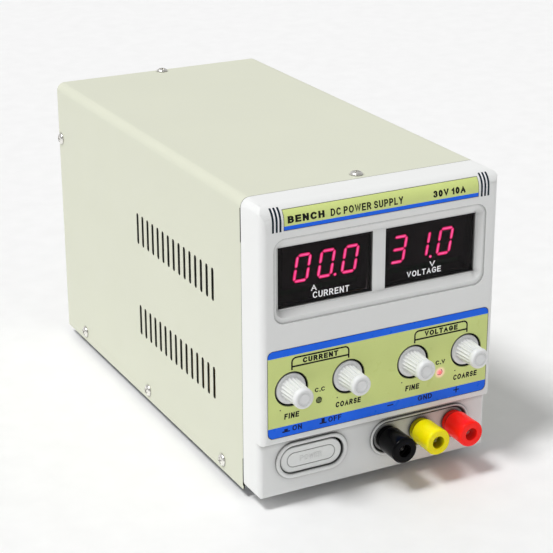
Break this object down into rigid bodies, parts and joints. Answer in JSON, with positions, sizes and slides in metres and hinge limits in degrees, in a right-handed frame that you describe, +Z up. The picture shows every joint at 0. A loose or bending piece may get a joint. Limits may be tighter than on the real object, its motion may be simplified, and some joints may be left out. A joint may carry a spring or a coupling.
{
  "type": "bench power supply",
  "caption": "Bench direct-current supply in a folded steel case: two meters, fine and coarse controls, push switch, binding posts, fan-cooled rear.",
  "frame": {"origin": "under the middle of the whole object's width and length, on the plane of the feet", "axes": "+Z up, -Y towards the user (controls), +X to the user's right; +Y is the long direction"},
  "size_m": [0.1396, 0.291, 0.1648],
  "materials": {
    "case_paint": "satin cream-green powder coat",
    "plated_steel": "zinc plated",
    "bezel_plastic": "fine moulded grain, warm white",
    "overlay_print": "printed film, green with blue bands",
    "plate_print": "printed film, green with a blue line",
    "smoked_window": "polished smoked acrylic",
    "display_module": "matt black",
    "led_dark": "diffused lens, unlit",
    "led_red": "diffused lens, lit",
    "circuit_board": "green solder mask",
    "knob_plastic": "satin moulded",
    "shaft_aluminium": "turned",
    "button_plastic": "satin moulded",
    "black_plastic": "moulded",
    "post_black": "gloss",
    "post_yellow": "gloss",
    "post_red": "gloss",
    "nickel": "nickel plated",
    "screw_nickel": "nickel plated",
    "wound_core": "amber tape over the winding",
    "capacitor_sleeve": "shrink sleeve",
    "heatsink_aluminium": "extruded",
    "foot_rubber": "moulded"
  },
  "bodies": {
    "case": {"cover": "case_paint", "rear_panel": "case_paint", "chassis": "plated_steel", "front_bezel": "bezel_plastic", "control_overlay": "overlay_print", "name_plate": "plate_print", "ammeter_window": "smoked_window", "voltmeter_window": "smoked_window", "ammeter_display": "display_module", "voltmeter_display": "display_module", "cc_led": "led_dark", "cv_led": "led_red", "control_board": "circuit_board", "power_switch": "black_plastic", "terminal_plate": "bezel_plastic", "transformer": "wound_core", "transformer_clamp": "plated_steel", "main_board": "circuit_board", "filter_capacitor": "capacitor_sleeve", "heatsink": "heatsink_aluminium", "fan_frame": "black_plastic", "fan_guard": "nickel", "mains_inlet": "black_plastic", "black_post_collar": "post_black", "black_post_stud": "nickel", "yellow_post_collar": "post_yellow", "yellow_post_stud": "nickel", "red_post_collar": "post_red", "red_post_stud": "nickel", "front_left_foot": "foot_rubber", "front_right_foot": "foot_rubber", "rear_left_foot": "foot_rubber", "rear_right_foot": "foot_rubber", "left_front_low_screw": "screw_nickel", "left_middle_low_screw": "screw_nickel", "left_rear_low_screw": "screw_nickel", "left_rear_high_screw": "screw_nickel", "right_front_low_screw": "screw_nickel", "right_middle_low_screw": "screw_nickel", "right_rear_low_screw": "screw_nickel", "right_rear_high_screw": "screw_nickel", "top_front_screw": "screw_nickel", "top_rear_screw": "screw_nickel"},
    "current_fine_control": {"current_fine_knob": "knob_plastic", "current_fine_shaft": "shaft_aluminium"},
    "current_coarse_control": {"current_coarse_knob": "knob_plastic", "current_coarse_shaft": "shaft_aluminium"},
    "voltage_fine_control": {"voltage_fine_knob": "knob_plastic", "voltage_fine_shaft": "shaft_aluminium"},
    "voltage_coarse_control": {"voltage_coarse_knob": "knob_plastic", "voltage_coarse_shaft": "shaft_aluminium"},
    "power_button": {"power_button": "button_plastic"},
    "black_washer": {"black_post_washer": "nickel"},
    "black_cap": {"black_post_cap": "post_black"},
    "yellow_washer": {"yellow_post_washer": "nickel"},
    "yellow_cap": {"yellow_post_cap": "post_yellow"},
    "red_washer": {"red_post_washer": "nickel"},
    "red_cap": {"red_post_cap": "post_red"},
    "fan_rotor": {"fan_rotor": "black_plastic"},
    "fuse_drawer": {"fuse_drawer": "black_plastic"}
  },
  "joints": [
    {"name": "current_fine_turn", "type": "hinge", "parent": "case", "child": "current_fine_control", "pos_m": [-0.0514, -0.13, 0.0672], "axis": [0, 1, 0], "range_deg": [-150, 150]},
    {"name": "current_coarse_turn", "type": "hinge", "parent": "case", "child": "current_coarse_control", "pos_m": [-0.019, -0.13, 0.0672], "axis": [0, 1, 0], "range_deg": [-150, 150]},
    {"name": "voltage_fine_turn", "type": "hinge", "parent": "case", "child": "voltage_fine_control", "pos_m": [0.019, -0.13, 0.0672], "axis": [0, 1, 0], "range_deg": [-150, 150]},
    {"name": "voltage_coarse_turn", "type": "hinge", "parent": "case", "child": "voltage_coarse_control", "pos_m": [0.0514, -0.13, 0.0672], "axis": [0, 1, 0], "range_deg": [-300, 0]},
    {"name": "power_button_push", "type": "slide", "parent": "case", "child": "power_button", "axis": [0, -1, 0], "range_m": [0, 0.004]},
    {"name": "black_cap_advance", "type": "slide", "parent": "case", "child": "black_washer", "axis": [0, -1, 0], "range_m": [0, 0.004]},
    {"name": "black_cap_turn", "type": "hinge", "parent": "black_washer", "child": "black_cap", "pos_m": [0.0064, -0.1383, 0.0259], "axis": [0, -1, 0], "range_deg": [0, 1440]},
    {"name": "yellow_cap_advance", "type": "slide", "parent": "case", "child": "yellow_washer", "axis": [0, -1, 0], "range_m": [0, 0.004]},
    {"name": "yellow_cap_turn", "type": "hinge", "parent": "yellow_washer", "child": "yellow_cap", "pos_m": [0.0266, -0.1383, 0.0259], "axis": [0, -1, 0], "range_deg": [0, 1440]},
    {"name": "red_cap_advance", "type": "slide", "parent": "case", "child": "red_washer", "axis": [0, -1, 0], "range_m": [0, 0.004]},
    {"name": "red_cap_turn", "type": "hinge", "parent": "red_washer", "child": "red_cap", "pos_m": [0.0468, -0.1383, 0.0259], "axis": [0, -1, 0], "range_deg": [0, 1440]},
    {"name": "fan_spin", "type": "hinge", "parent": "case", "child": "fan_rotor", "pos_m": [0, 0.1257, 0.108], "axis": [0, 1, 0], "continuous": true},
    {"name": "fuse_drawer_pull", "type": "slide", "parent": "case", "child": "fuse_drawer", "axis": [0, 1, 0], "range_m": [0, 0.014]}
  ],
  "couplings": [
    {"joint": "black_cap_turn", "follows": "black_cap_advance", "rad_per_m": 6283.2},
    {"joint": "yellow_cap_turn", "follows": "yellow_cap_advance", "rad_per_m": 6283.2},
    {"joint": "red_cap_turn", "follows": "red_cap_advance", "rad_per_m": 6283.2}
  ]
}
